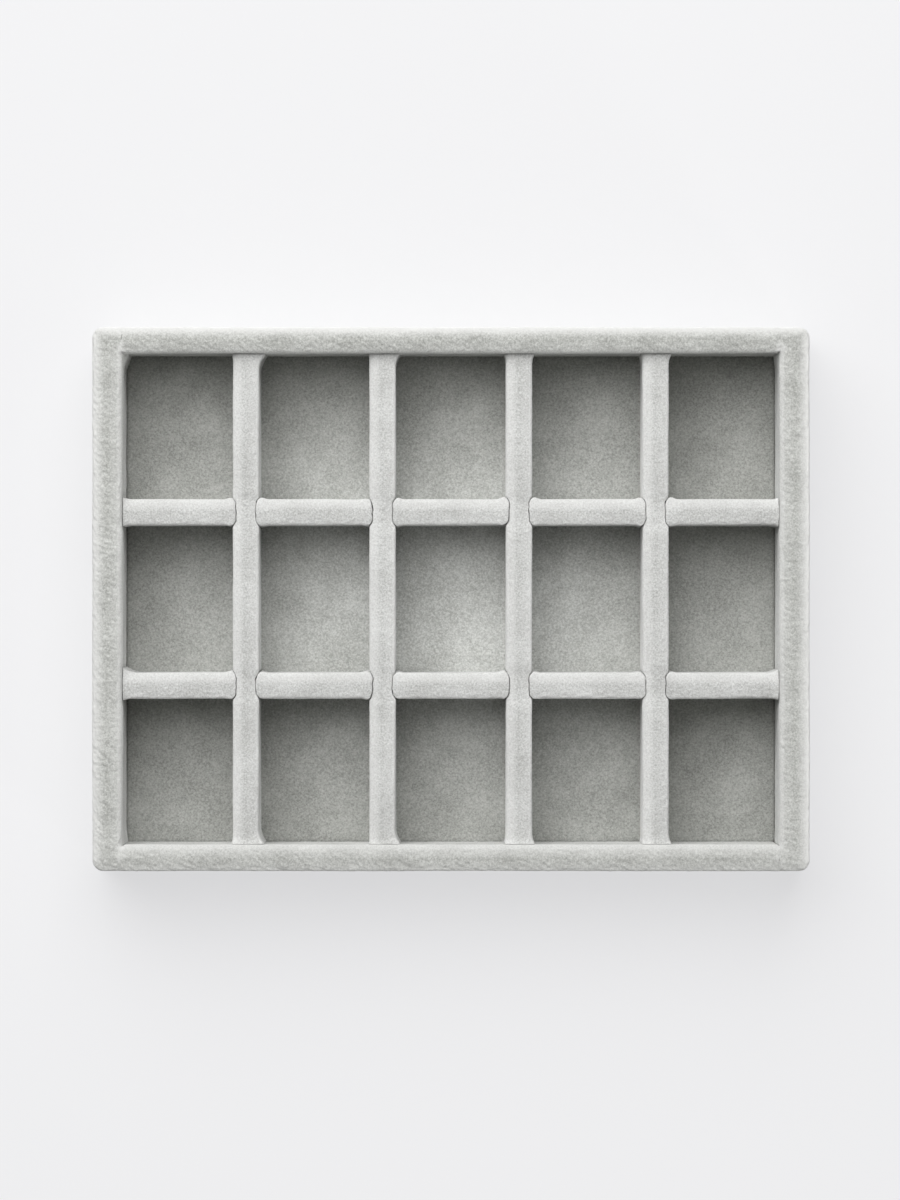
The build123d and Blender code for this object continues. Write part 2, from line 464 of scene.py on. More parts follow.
def strip_shape(strip, others, inset=0.0, bottom=FLOOR_TOP):
    """A strip's padded shape: rounded top, slots, and necks pressed in by the strips it crosses."""
    slot_edge = slot_edge_of(strip, inset)
    way = 1 if strip.open_above else -1
    neck_edge = HALF_LAP + way * 1.5 * FIT_GAP

    def shape(points):
        along, across, up = local(strip, points)
        body, wide = sides_of(strip, points, inset)
        near_slot = np.zeros_like(along)
        marks, loose = press_marks(points)
        for crossing in strip.crossings:
            beyond = abs(along - crossing)
            near_slot = np.maximum(near_slot, 1 - ease((beyond - SLOT_HALF) / CROSSING_REACH))
            uneven = marks * (beyond < SLOT_HALF + 1.5)
            slot = np.minimum(SLOT_HALF + inset - beyond + uneven, (up - slot_edge) * way)
            body = round_max(body, slot, PAD_CORNER - inset)
        crest = DIVIDER_TOP - inset - (0 if strip.open_above else CROSSING_DIP * near_slot)
        crest = crest - DIVIDER_CROWN * np.minimum((across / wide) ** 2, CROWN_LIMIT)
        near_end = np.clip(1 - (strip.half_length - abs(along)) / END_LIFT_REACH, 0, 1)
        crest = crest + END_LIFT * near_end**2
        turned_from_lamp = across * (1 if strip.along == 0 else -1) < 0
        rounding = np.where(turned_from_lamp, COMBED_DIVIDER_ROUND, DIVIDER_ROUND)
        rounding = np.maximum(rounding - CROSSING_TIGHTENING * near_slot - inset, 0.1)
        body = round_max(body, up - crest, rounding)
        gap = FIT_GAP * (PRESSED_GAP + GAP_SPREAD * loose)
        for other in others:
            pressed_or_painted_shade = gap + inset - pads_of(other, points, marks)
            neck = np.minimum(pressed_or_painted_shade, (neck_edge - up) * way)
            body = round_max(body, neck, NECK_ROUND)
        if strip.along == 1:
            end = CLEAR_Y - LONG_END_GAP - end_slack(points)
        else:
            end = CLEAR_X - CROSS_END_GAP - side_slack(points)
        body = round_max(body, abs(along) - end + inset, END_ROUND)
        return np.maximum(body, bottom - up)

    return shape


def strip_lattice(strip, step, inset=0.0, bottom=FLOOR_TOP):
    """Lattice cells of a strip with its slots left out, spread sideways to its flares."""
    slot_edge = slot_edge_of(strip, inset)
    length, half, top = strip.half_length - inset, DIVIDER_HALF - inset, DIVIDER_TOP - inset
    crest_from = top - 1.6
    stops = [-length]
    for crossing in sorted(strip.crossings):
        stops += [crossing - SLOT_HALF - inset, crossing + SLOT_HALF + inset]
    stops.append(length)
    along = planes(*[(low, high, step) for low, high in zip(stops, stops[1:])])
    across = planes((-half, half, step * 0.9))
    up = planes(
        (bottom, slot_edge, step * 1.9),
        (slot_edge, crest_from, step * 1.6),
        (crest_from, top, step),
    )
    filled = np.ones((len(along) - 1, len(across) - 1, len(up) - 1), bool)
    slotted = middles(up) > slot_edge if strip.open_above else middles(up) < slot_edge
    for crossing in strip.crossings:
        inside = abs(middles(along) - crossing) < SLOT_HALF + inset
        filled[np.ix_(inside, np.ones(len(across) - 1, bool), slotted)] = False
    edges = [along, across + strip.place, up]
    if strip.along == 1:
        edges[0], edges[1] = edges[1], edges[0]
        filled = filled.transpose(1, 0, 2)
    skin = lattice_skin(edges, filled)
    place, across, _ = local(strip, skin.points)
    for side in (1, -1):
        share = (half_width(strip, place, side) - inset) / half
        across = np.where(across * side > 0, across * share, across)
    skin.points[:, 1 - strip.along] = strip.place + across
    return skin


def painted_edge_sheen(tilt, up, top):
    """How much painted sheen a surface gets for how far it leans away, near the top edge."""
    shown = ease((up - top + 2.9) / 1.6)
    return 0.45 * np.clip(tilt / 0.6, 0, 1) * shown


def strip_pile(strip, seed):
    """Relief of a divider's cover: short even pile, pressed flat where covers touch."""

    def relief(points, outward):
        along, across, up = local(strip, points)
        end = strip.half_length - (END_SLACK if strip.along == 1 else 0)
        free = ease((end - abs(along)) / 0.6) * ease((up - FLOOR_TOP) / 0.4)
        for crossing in strip.crossings:
            slot_side = abs(along - crossing) < SLOT_HALF + 0.05
            free = np.where(slot_side & (outward[:, 2] < 0.5), 0.3 * free, free)
        fine = mottle(points, PILE_LUMP, seed) * PILE_HEIGHT
        clumps = mottle(points, 0.9, seed + 1) * 0.04
        padding = mottle(points, 7.0, seed + 2) * 0.06
        upward = 0.35 + 0.75 * np.clip(outward[:, 2], 0, 1)
        if strip.along == 0:
            upward = upward * (0.2 + 0.9 * ease((1.9 - across) / 1.4))
        return free * ((fine + clumps) * upward + padding - 0.03)

    return relief


def strip_painted_sheen(strip):
    """Painted sheen where a cover rolls over a divider's long edges.

    Also a painted highlight in a broad, smooth band along the edges that face the lamp: the back
    edge of the cross dividers, and more faintly the left edge of the long ones.
    """
    way, rolling, painted_highlight = (1, 0.75, 0.42) if strip.along == 0 else (-1, 1.0, 0.36)

    def painted_sheen_of(points, outward):
        _, across, up = local(strip, points)
        # Painted sheen on the rounded long edges
        painted_sheen = rolling * painted_edge_sheen(abs(outward[:, 1 - strip.along]), up, DIVIDER_TOP)
        # Painted highlight along the edge that faces the lamp
        band = painted_highlight * ease((way * across - 0.1) / 1.5) * ease((up - DIVIDER_TOP + 1.6) / 0.8)
        return np.maximum(painted_sheen, band)

    return painted_sheen_of


# Flares of the long dividers' covers where they meet the end walls, from left to right
END_FLARES = {
    (1, 1): (1.57, 1.04, 0.66, 0.8),
    (1, -1): (1.33, 1.2, 0.8, 0.8),
    (-1, 1): (0.3, 0.25, 0.37, 0.4),
    (-1, -1): (0.37, 0.22, 0.38, 0.22),
}

# Flares of the cross dividers' covers where they meet the side walls, front one first
CROSS_END_FLARES = {
    (1, 1): (0.65, 0.3),
    (1, -1): (1.15, 0.4),
    (-1, 1): (0.2, 0.25),
    (-1, -1): (0.3, 0.2),
}

longs, crosses = [], []
for number, x in enumerate(LONG_XS):
    name = f"long_divider_{number + 1}"
    strip = Strip(name, name, 1, x, LONG_HALF, CROSS_YS, False)
    for (side, end), amounts in END_FLARES.items():
        amount = amounts[number]
        strip.flares.append((end * LONG_HALF, end, side, amount, 1.4 + 1.5 * amount, 0.0))
    longs.append(strip)
for number, y in enumerate(CROSS_YS):
    strip = Strip(f"cross_divider_{number + 1}", "cross_dividers", 0, y, CROSS_HALF, LONG_XS, True)
    for x in LONG_XS:
        for way in (1, -1):
            at = x - way * SLOT_HALF
            strip.flares.append((at, way, 1, dice.uniform(0.25, 0.6), 2.7, 0.8))
            strip.flares.append((at, way, -1, dice.uniform(0.0, 0.42), 2.4, 0.6))
    for (side, way), amounts in CROSS_END_FLARES.items():
        amount = amounts[number]
        strip.flares.append((way * CROSS_HALF, way, side, amount, 1.2 + 1.8 * amount, 0.0))
    crosses.append(strip)


def make_strip(strip, others, seed):
    """Cover and padding of one divider."""
    shape = strip_shape(strip, others)
    skin = settle(strip_lattice(strip, DIVIDER_CELL), shape, 7)
    skin = raise_relief(skin, shape, strip_pile(strip, seed), strip_painted_sheen(strip))
    low = FLOOR_TOP - 1
    void = settle(strip_lattice(strip, 0.8, VELOUR, low), strip_shape(strip, others, VELOUR, low))
    cover = hollow(make_piece(f"{strip.name}_cover", skin), void)

    tight = VELOUR + SNUG
    bulk = settle(strip_lattice(strip, 0.7, tight), strip_shape(strip, others, tight))
    core_low = [-strip.half_length, strip.place - CORE_HALF, low]
    core_high = [strip.half_length, strip.place + CORE_HALF, CORE_HIGH[2]]
    if strip.along == 1:
        core_low[:2], core_high[:2] = core_low[1::-1], core_high[1::-1]
    padding = hollow(make_piece(f"{strip.name}_padding", bulk), box_skin(core_low, core_high))
    return cover, padding


strip_pieces = {}
for number, strip in enumerate(longs):
    strip_pieces[strip.name] = make_strip(strip, crosses, 100 + 10 * number)
for number, strip in enumerate(crosses):
    strip_pieces[strip.name] = make_strip(strip, longs, 200 + 10 * number)


# The walls


def beside_of(x, y):
    """How far a place belongs to a side wall rather than to an end wall, from 0 to 1."""
    return ease((abs(x) - CASE_X - abs(y) + CASE_Y) / 5 + 0.5)


def wall_shape(points, inset, side):
    """The ring of walls, crowned and round-topped inside and out.

    Its outline wanders a little, as padded covers do. The side linings belong to side walls only.
    """
    x, y, up = points.T
    wander = 0.08 * mottle(points, 16.0, 5)
    outside = round_max(abs(x) - CASE_X + inset, abs(y) - CASE_Y + inset, CORNER_ROUND - inset)
    inside = CLEAR_Y - end_slack(points) + inset - abs(y)
    if side:
        inside = np.minimum(inside, CLEAR_X - side_slack(points) + inset - abs(x))
    from_middle = (outside - inside) / np.minimum(outside + inside, -3.0)
    crown = RIM_CROWN * np.minimum(from_middle**2, CROWN_LIMIT)
    beside = beside_of(x, y)
    turned_from_lamp = np.where(x > 0, beside, 0) + np.where(y < 0, 1 - beside, 0)
    over = RIM_ROUND + (COMBED_RIM_ROUND - RIM_ROUND) * turned_from_lamp
    at_back = (y > 0) & (abs(x) < CLEAR_X - CLEAR_Y + abs(y))
    under = np.where(at_back, COMBED_LINING_ROUND, LINING_ROUND)
    top = up - RIM_TOP + crown + inset
    ring = round_max(outside - wander, top - wander, np.maximum(over - inset, 0.1))
    return round_max(ring, inside, np.maximum(under - inset, 0.1))


def side_cover_shape(sign):
    """A side wall's cover, which wraps the corners, with its turned-in edge underneath."""

    def shape(points):
        butt = np.where(abs(points[:, 1]) > CLEAR_Y, CLEAR_X - sign * points[:, 0], -math.inf)
        wall = np.maximum(wall_shape(points, 0, True), butt)
        edge = np.column_stack([sign * points[:, 0], points[:, 1:]])
        low, high = (FLANGE_X, FOAM_LOW[1], FABRIC_LOW), (CLEAR_X + 1, FOAM_HIGH[1], FOAM_LOW[2])
        flange = block(edge, low, high)
        return np.minimum(np.maximum(wall, FABRIC_LOW - points[:, 2]), flange)

    return shape


def end_cover_shape(sign):
    """An end wall's cover, which stands between the side walls, with its turned-in edge."""

    def shape(points):
        wall = np.maximum(wall_shape(points, 0, False), abs(points[:, 0]) - CLEAR_X)
        wall = np.maximum(wall, FABRIC_LOW - points[:, 2])
        edge = np.column_stack([points[:, 0], sign * points[:, 1], points[:, 2]])
        low, high = (-FLANGE_X, FLANGE_Y, FABRIC_LOW), (FLANGE_X, CLEAR_Y + 1, FOAM_LOW[2])
        return np.minimum(wall, block(edge, low, high))

    return shape


def wall_heights():
    """Lattice planes up a wall."""
    return planes(
        (FABRIC_LOW, FOAM_LOW[2], 1),
        (FOAM_LOW[2], BASE_HIGH[2], 0.7),
        (BASE_HIGH[2], RIM_TOP - RIM_ROUND, WALL_CELL * 1.7),
        (RIM_TOP - RIM_ROUND, RIM_TOP, WALL_CELL),
    )


def side_cover_lattice(sign):
    """Cells of a side wall and of its turned-in edge."""
    across = planes((FLANGE_X, CLEAR_X, TURNED_IN_CELL), (CLEAR_X, CASE_X, WALL_CELL))
    ends = FOAM_HIGH[1]
    stops = (-CASE_Y, -ends, -CLEAR_Y, CLEAR_Y, ends, CASE_Y)
    along = planes(*[(low, high, WALL_CELL) for low, high in zip(stops, stops[1:])])
    up = wall_heights()
    u, v, w = np.meshgrid(middles(across), middles(along), middles(up), indexing="ij")
    filled = (u > CLEAR_X) | ((w < FOAM_LOW[2]) & (abs(v) < ends))
    if sign < 0:
        across, filled = -across[::-1], filled[::-1]
    return lattice_skin([across, along, up], filled)


def end_cover_lattice(sign):
    """Cells of an end wall and of its turned-in edge."""
    stops = (-CLEAR_X, -FLANGE_X, FLANGE_X, CLEAR_X)
    along = planes(*[(low, high, WALL_CELL) for low, high in zip(stops, stops[1:])])
    outer = FOAM_HIGH[1]
    across = planes(
        (FLANGE_Y, CLEAR_Y, TURNED_IN_CELL), (CLEAR_Y, outer, WALL_CELL), (outer, CASE_Y, WALL_CELL)
    )
    up = wall_heights()
    u, v, w = np.meshgrid(middles(along), middles(across), middles(up), indexing="ij")
    filled = (v > CLEAR_Y) | (w < FOAM_LOW[2])
    filled &= ~((abs(u) > FLANGE_X) & (w < FOAM_LOW[2]) & (v < outer))
    if sign < 0:
        across, filled = -across[::-1], filled[:, ::-1]
    return lattice_skin([along, across, up], filled)


def wall_void(sign, side):
    """What lies inside a wall's cover: its foam and boards, and the base board's edge."""
    low_z, base_z, top_z = FOAM_LOW[2], BASE_HIGH[2], FOAM_HIGH[2]
    clear, outer = (CLEAR_X, -FOAM_LOW[0]) if side else (CLEAR_Y, FOAM_HIGH[1])
    start, lining = clear - 1, clear + VELOUR
    across = planes((start, lining, 0.85), (lining, outer, 0.5))
    if side:
        reach, inner = FOAM_HIGH[1], CLEAR_Y + VELOUR
        along = planes((-reach, -inner, 0.5), (-inner, inner, 1.0), (inner, reach, 0.5))
    else:
        reach, inner = CLEAR_X + 1, math.inf
        along = planes((-reach, reach, 1.0))
    bend = top_z - RIM_ROUND
    up = planes((low_z, base_z, 1.0), (base_z, bend, 1.5), (bend, top_z, 0.5))
    u, v, w = np.meshgrid(middles(across), middles(along), middles(up), indexing="ij")
    filled = (u > lining) | (abs(v) > inner) | (w < base_z)
    if sign < 0:
        across, filled = -across[::-1], filled[::-1]
    if side:
        skin = lattice_skin([across, along, up], filled)
    else:
        skin = lattice_skin([along, across, up], filled.transpose(1, 0, 2))

    def shape(points):
        out, on = sign * points[:, 0 if side else 1], points[:, 1 if side else 0]
        ring = np.maximum(wall_shape(points, VELOUR, side), start - out)
        if not side:
            ring = np.maximum(ring, abs(on) - reach)
        ring = np.maximum(ring, low_z - points[:, 2])
        turned = np.column_stack([out, on, points[:, 2]])
        slab = block(turned, (start, -reach, low_z), (lining + 1, reach, base_z))
        return np.minimum(ring, slab)

    return settle(skin, shape)


# Where pile stands up in tufts along the seams between rim covers, how wide and how high
TUFTS_PER_CORNER = 9
TUFT_HEIGHT = 0.22
CORNER_TUFTS = []
for end_x, end_y in itertools.product((-1, 1), repeat=2):
    for _ in range(TUFTS_PER_CORNER):
        from_lining = dice.uniform(0.0, CASE_Y - CLEAR_Y - 0.6) * dice.uniform(0.2, 1.0)
        spot = (end_x * (CLEAR_X + dice.uniform(-0.7, 0.9)), end_y * (CLEAR_Y + from_lining))
        CORNER_TUFTS.append((*spot, dice.uniform(0.3, 0.6), dice.uniform(0.3, 1.0)))


# How the strands of the rim's pile are turned from the tray's depth, in radians
STRAND_TURN = 0.9


def tufts(points):
    """How high the tufts at the corner seams stand, from 0 to 1."""
    high = np.zeros(len(points))
    corner = np.flatnonzero((abs(points[:, 0]) > CLEAR_X - 3) & (abs(points[:, 1]) > CLEAR_Y - 2))
    for x, y, size, height in CORNER_TUFTS:
        away = ((points[corner, 0] - x) ** 2 + (points[corner, 1] - y) ** 2) / size**2
        high[corner] = np.maximum(high[corner], height * np.exp(-away))
    return high * ease((points[:, 2] - RIM_TOP + 4) / 2)


def wall_pile(points, outward):
    """Relief of a wall's cover: longer pile that leans and parts in strands on the rim.

    It lies flat on the lining where the long dividers' ends stand against it.
    """
    x, y, up = points.T
    cos, sin = math.cos(STRAND_TURN), math.sin(STRAND_TURN)
    strands = points @ np.array([[cos, sin, 0], [-sin, cos, 0], [0, 0, 1]]).T
    leaning = mottle(strands, np.array([PILE_LUMP, 1.1, 0.8]), 300) * 0.12
    fine = mottle(points, PILE_LUMP, 301) * PILE_HEIGHT
    clumps = mottle(points, 1.5, 302) * 0.03
    padding = mottle(points, 8.0, 303) * 0.06
    upward = np.clip(outward[:, 2], 0, 1)
    lining = (abs(x) < CLEAR_X + 0.3) & (abs(y) < CLEAR_Y + 0.3)
    rough = np.where(lining, 0.25, 0.3) + np.where(lining, 0.3, 1.15) * upward
    touched = (nearest(LONG_XS, x) < DIVIDER_HALF + 1.8) & (up < DIVIDER_TOP) & (abs(y) < CLEAR_Y)
    rough = np.where(touched, 0, rough)
    foot = ease((up - FABRIC_LOW) / 1.0)
    pile = rough * (leaning + fine + clumps) + padding * 0.6 - 0.04
    return foot * pile + TUFT_HEIGHT * tufts(points)


def wall_painted_sheen(points, outward):
    """Painted sheen on both shoulders of a rim, and painted highlights on its corner tufts.

    The painted fringe along the outline is weaker in front, which is turned from the lamp, and
    narrower at the back. The inner shoulder gets less painted sheen at the back, where it is turned
    from the lamp, and a painted highlight over half the rim in front, where it faces the lamp.
    """
    tilt = np.sqrt(np.clip(1 - outward[:, 2] ** 2, 0, 1))
    x, y, up = points.T
    over_rim = up - RIM_TOP
    from_outside = -np.maximum(abs(x) - CASE_X, abs(y) - CASE_Y)
    front, back = ((1 - beside_of(x, y)) * (way * y > 0) for way in (-1, 1))
    # Painted sheen in a fringe along the outline, weaker in front, where it is turned from the lamp
    fringe = (1 - 0.6 * front) * np.clip(1 - from_outside / (3.0 - 0.5 * back), 0, 1) ** 1.2
    fringe *= ease((over_rim + 4.2) / 2.6)
    # The back rim's inner shoulder is turned from the lamp and gets less painted sheen
    turned_from_lamp = (y > 0) & (from_outside > 3.0) & (abs(x) < CLEAR_X)
    inner = painted_edge_sheen(tilt, up, RIM_TOP - np.where(y < 0, 1.8, 0))
    inner *= np.where(turned_from_lamp, 0.4, 1.0) * (from_outside > 2.6)
    # Painted highlight on the front rim's inner shoulder, which faces the lamp
    painted_highlight = 0.45 * front * np.clip(1 - (abs(y) - CLEAR_Y) / 3.0, 0, 1)
    painted_highlight *= ease((over_rim + 2.4) / 1.6)
    # Painted highlights on the corner tufts
    return np.clip(np.maximum.reduce([fringe, inner, painted_highlight]) + 0.5 * tufts(points), 0, 1)


def make_wall_padding(name, sign, side):
    """Foam of one wall, which wraps its board and the base board's edge."""
    tight = VELOUR + SNUG
    split = CLEAR_X + VELOUR
    low_z, top_z, reach = FOAM_LOW[2] + SNUG, FOAM_HIGH[2] - SNUG, FOAM_HIGH[1] - SNUG
    bend = top_z - 2.0
    up = planes((low_z, bend, 1.2), (bend, top_z, 0.4))
    if side:
        across = planes((split + SNUG, -FOAM_LOW[0] - SNUG, 0.5))
        along = planes((-reach, reach, 0.9))
    else:
        across = planes((CLEAR_Y + tight, reach, 0.5))
        along = planes((-split, split, 0.9))
    if sign < 0:
        across = -across[::-1]
    edges = [across, along, up] if side else [along, across, up]
    bulk = lattice_skin(edges, np.ones([len(e) - 1 for e in edges], bool))

    def shape(points):
        ring = wall_shape(points, tight, side)
        start = split + SNUG - sign * points[:, 0] if side else abs(points[:, 0]) - split
        return np.maximum.reduce([ring, start, low_z - points[:, 2]])

    board = box_skin(*box_mm(f"{name}_board"))
    base = box_skin(BASE_LOW - (0, 0, 1), BASE_HIGH)
    return hollow(make_piece(f"{name}_padding", settle(bulk, shape)), board, base)


wall_pieces = {}
for name, sign, side in (
    ("left_wall", -1, True),
    ("right_wall", 1, True),
    ("front_wall", -1, False),
    ("back_wall", 1, False),
):
    shape = side_cover_shape(sign) if side else end_cover_shape(sign)
    lattice = side_cover_lattice(sign) if side else end_cover_lattice(sign)
    skin = raise_relief(settle(lattice, shape), shape, wall_pile, wall_painted_sheen)
    cover = hollow(make_piece(f"{name}_cover", skin), wall_void(sign, side))
    wall_pieces[name] = (cover, make_wall_padding(name, sign, side))


# The floor panel, which lies loose between the walls

FLOOR_X, FLOOR_Y = CLEAR_X - 0.05, CLEAR_Y - 0.05


def floor_shape(points):
    """A flat panel with a softly turned edge."""
    x, y, up = points.T
    panel = round_max(abs(x) - FLOOR_X, abs(y) - FLOOR_Y, 1.0)
    return np.maximum(round_max(panel, up - FLOOR_TOP, 0.6), BASE_HIGH[2] - up)


def floor_pile(points, outward):
    """Relief of the floor's cover: even short pile with tracks pressed by the dividers."""
    x, y, up = points.T
    near = np.minimum(nearest(LONG_XS, x), nearest(CROSS_YS, y))
    track = 1 - ease((near - DIVIDER_HALF + 0.3) / 0.6)
    grain = mottle(points, 0.9, 401) * 0.02 + mottle(points, 2.6, 402) * 0.02
    return np.where(up > FLOOR_TOP - 0.3, (grain - 0.04) * (1 - 0.6 * track) - 0.07 * track, 0)


floor_edges = [
    planes((-FLOOR_X, FLOOR_X, FLOOR_CELL)),
    planes((-FLOOR_Y, FLOOR_Y, FLOOR_CELL)),
    planes((BASE_HIGH[2], FLOOR_TOP, 0.4)),
]
floor_cells = np.ones([len(e) - 1 for e in floor_edges], bool)
floor_skin = settle(lattice_skin(floor_edges, floor_cells), floor_shape)
floor_skin = raise_relief(floor_skin, floor_shape, floor_pile)

# Painted shade: darker away from the tray's middle, towards its corners, with some random tone
from_middle = np.hypot(floor_skin.points[:, 0], floor_skin.points[:, 1] * 1.3)
floor_skin.pressed_or_painted_shade = 0.85 * ease(from_middle / 72) + 0.1 * mottle(floor_skin.points, 24.0, 403)
floor_skin.pressed_or_painted_shade = np.clip(floor_skin.pressed_or_painted_shade, 0, 1)
card_skin = box_skin((*CARD_LOW[:2], CARD_LOW[2] - 1), CARD_HIGH)
floor_cover = hollow(make_piece("floor_cover", floor_skin), card_skin)


# The felt underneath

FELT_CORNER = 2.4


def felt_shape(points):
    """A thin sheet with cut edges, thicker where it fills the frame of turned-in covers."""
    x, y, up = points.T
    sheet = round_max(abs(x) - FELT_HIGH[0], abs(y) - FELT_HIGH[1], FELT_CORNER)
    sheet = np.maximum(sheet, up - FABRIC_LOW)
    pad = round_max(abs(x) - FLANGE_X, abs(y) - FLANGE_Y, 0.4)
    pad = np.maximum(pad, up - FELT_HIGH[2])
    return np.maximum(np.minimum(sheet, pad), FELT_LOW[2] - up)


def felt_fuzz(points, outward):
    """Relief of the felt: matted fibres, on the side that shows and on its cut edge."""
    shown = (outward[:, 2] < -0.5) | (points[:, 2] < FABRIC_LOW - 0.02)
    matted = mottle(points, 0.7, 501) * 0.03 + mottle(points, 2.2, 502) * 0.03
    return np.where(shown & (abs(points[:, 2] - FELT_LOW[2]) < 0.2), matted - 0.06, 0)


felt_edges = [
    planes((low, -flange, FELT_CELL), (-flange, flange, FELT_CELL), (flange, high, FELT_CELL))
    for low, high, flange in zip(FELT_LOW, FELT_HIGH, (FLANGE_X, FLANGE_Y))
]
felt_edges.append(planes((FELT_LOW[2], FABRIC_LOW, 0.4), (FABRIC_LOW, FELT_HIGH[2], 0.7)))
u, v, w = np.meshgrid(*[middles(e) for e in felt_edges], indexing="ij")
felt_cells = (w < FABRIC_LOW) | ((abs(u) < FLANGE_X) & (abs(v) < FLANGE_Y))
felt_skin = settle(lattice_skin(felt_edges, felt_cells), felt_shape)
felt_skin = raise_relief(felt_skin, felt_shape, felt_fuzz)
felt_sheet = make_piece("underside_felt_sheet", felt_skin)


# Materials


def linear(hex_colour):
    """An sRGB hex colour as linear RGBA."""
    parts = [int(hex_colour[i : i + 2], 16) / 255 for i in (1, 3, 5)]
    return (*[c / 12.92 if c <= 0.04045 else ((c + 0.055) / 1.055) ** 2.4 for c in parts], 1)


def add(tree, kind, settings=(), links=()):
    """Adds a node with its settings, and links other nodes' outputs to its inputs."""
    node = tree.nodes.new(f"ShaderNode{kind}")
    for name, value in dict(settings).items():
        if name == "color_ramp":
            for stop, (place, colour) in zip(node.color_ramp.elements, value):
                stop.position, stop.color = place, linear(colour)
        elif isinstance(name, str) and hasattr(node, name):
            setattr(node, name, value)
        else:
            node.inputs[name].default_value = value
    for name, output in dict(links).items():
        tree.links.new(output, node.inputs[name])
    return node


def new_material(name):
    """An empty material, its tree, and object coordinates in millimetres."""
    material = bpy.data.materials.new(name)
    material.use_nodes = True
    tree = material.node_tree
    tree.nodes.clear()
    coordinates = add(tree, "TexCoord")
    scaling = {"operation": "SCALE", "Scale": MM_PER_M}
    place = add(tree, "VectorMath", scaling, {0: coordinates.outputs["Object"]})
    return material, tree, place.outputs[0]


def surface_of(tree, colour, height, strength, distance_mm, settings, normal=None):
    """Ends a material: a surface of that colour, with relief from a height and plain settings."""
    relief = {"Strength": strength, "Distance": distance_mm / MM_PER_M}
    bump = add(tree, "Bump", relief, {"Height": height} | ({"Normal": normal} if normal else {}))
    links = {"Base Color": colour, "Normal": bump.outputs["Normal"]}
    surface = add(tree, "BsdfPrincipled", settings, links)
    add(tree, "OutputMaterial", {}, {"Surface": surface.outputs[0]})


# The tone that painted shade multiplies the velour's colour by
PAINTED_SHADE_TONE = "#D2D2D0"


def cut_pile_velour(name, root, tip, painted_sheen_tip):
    """Knitted polyester velour, its short pile cut and brushed.

    To the eye it is matt and speckled where single tufts catch the light. Its colour is painted
    paler on the shoulders and along the edges that face the lamp, a painted sheen and highlight
    marked on the mesh, and on the floor painted darker where the mesh marks painted shade. Where
    the sheen is painted, the shading normal is also turned up towards light from above, so the
    shoulder turned from the lamp stays pale too. Real tufts are about 0.12 mm wide, too fine to
    show, so they are drawn 0.38 mm wide. The brushed clouds are 8 mm wide.
    """
    material, tree, place = new_material(name)
    settings = {"Scale": 1 / 0.38, "Detail": 3.0, "Roughness": 0.7}
    grain = add(tree, "TexNoise", settings, {"Vector": place})
    settings = {"Scale": 1 / 8, "Detail": 2.0, "Roughness": 0.5}
    nap = add(tree, "TexNoise", settings, {"Vector": place})
    links = {0: nap.outputs["Fac"], 2: grain.outputs["Fac"]}
    both = add(tree, "Math", {"operation": "MULTIPLY_ADD", 1: 0.3}, links)
    stops = ((0.47, root), (0.84, tip))
    tone = add(tree, "ValToRGB", {"color_ramp": stops}, {"Fac": both.outputs[0]})
    # Painted shade: the colour is multiplied towards that tone where the mesh marks it
    pressed_or_painted_shade = add(tree, "Attribute", {"attribute_name": "pressed_or_painted_shade"})
    settings = {"data_type": "RGBA", "blend_type": "MULTIPLY", 7: linear(PAINTED_SHADE_TONE)}
    links = {0: pressed_or_painted_shade.outputs["Fac"], 6: tone.outputs["Color"]}
    painted_shade = add(tree, "Mix", settings, links)
    # Painted sheen: the colour turns paler towards the tip colour where the mesh marks it
    painted_sheen = add(tree, "Attribute", {"attribute_name": "painted_sheen"})
    settings = {"data_type": "RGBA", 7: linear(painted_sheen_tip)}
    paler = add(tree, "Mix", settings, {0: painted_sheen.outputs["Fac"], 6: painted_shade.outputs[2]})
    geometry = add(tree, "NewGeometry")
    raised = add(tree, "Attribute", {"attribute_name": "raised"})
    lift = add(tree, "CombineXYZ", {}, {"Z": raised.outputs["Fac"]})
    links = {0: geometry.outputs["Normal"], 1: lift.outputs[0]}
    turned = add(tree, "VectorMath", {"operation": "ADD"}, links)
    facing = add(tree, "VectorMath", {"operation": "NORMALIZE"}, {0: turned.outputs[0]})
    settings = {
        "Roughness": 0.95,
        "Specular IOR Level": 0.1,
        "Sheen Weight": 0.7,
        "Sheen Roughness": 0.5,
    }
    height = grain.outputs["Fac"]
    surface_of(tree, paler.outputs[2], height, 0.8, 0.11, settings, facing.outputs[0])
    return material


def slabstock_foam(name, cell, wall):
    """Open-cell polyurethane foam cut from a block: dry, off-white, pitted with 0.6 mm pores."""
    material, tree, place = new_material(name)
    settings = {"Scale": 1 / 0.6, "Randomness": 1.0}
    pores = add(tree, "TexVoronoi", settings, {"Vector": place})
    height = pores.outputs["Distance"]
    stops = ((0.12, cell), (0.42, wall))
    tone = add(tree, "ValToRGB", {"color_ramp": stops}, {"Fac": height})
    settings = {"Roughness": 0.95, "Specular IOR Level": 0.2}
    surface_of(tree, tone.outputs["Color"], height, 0.7, 0.3, settings)
    return material


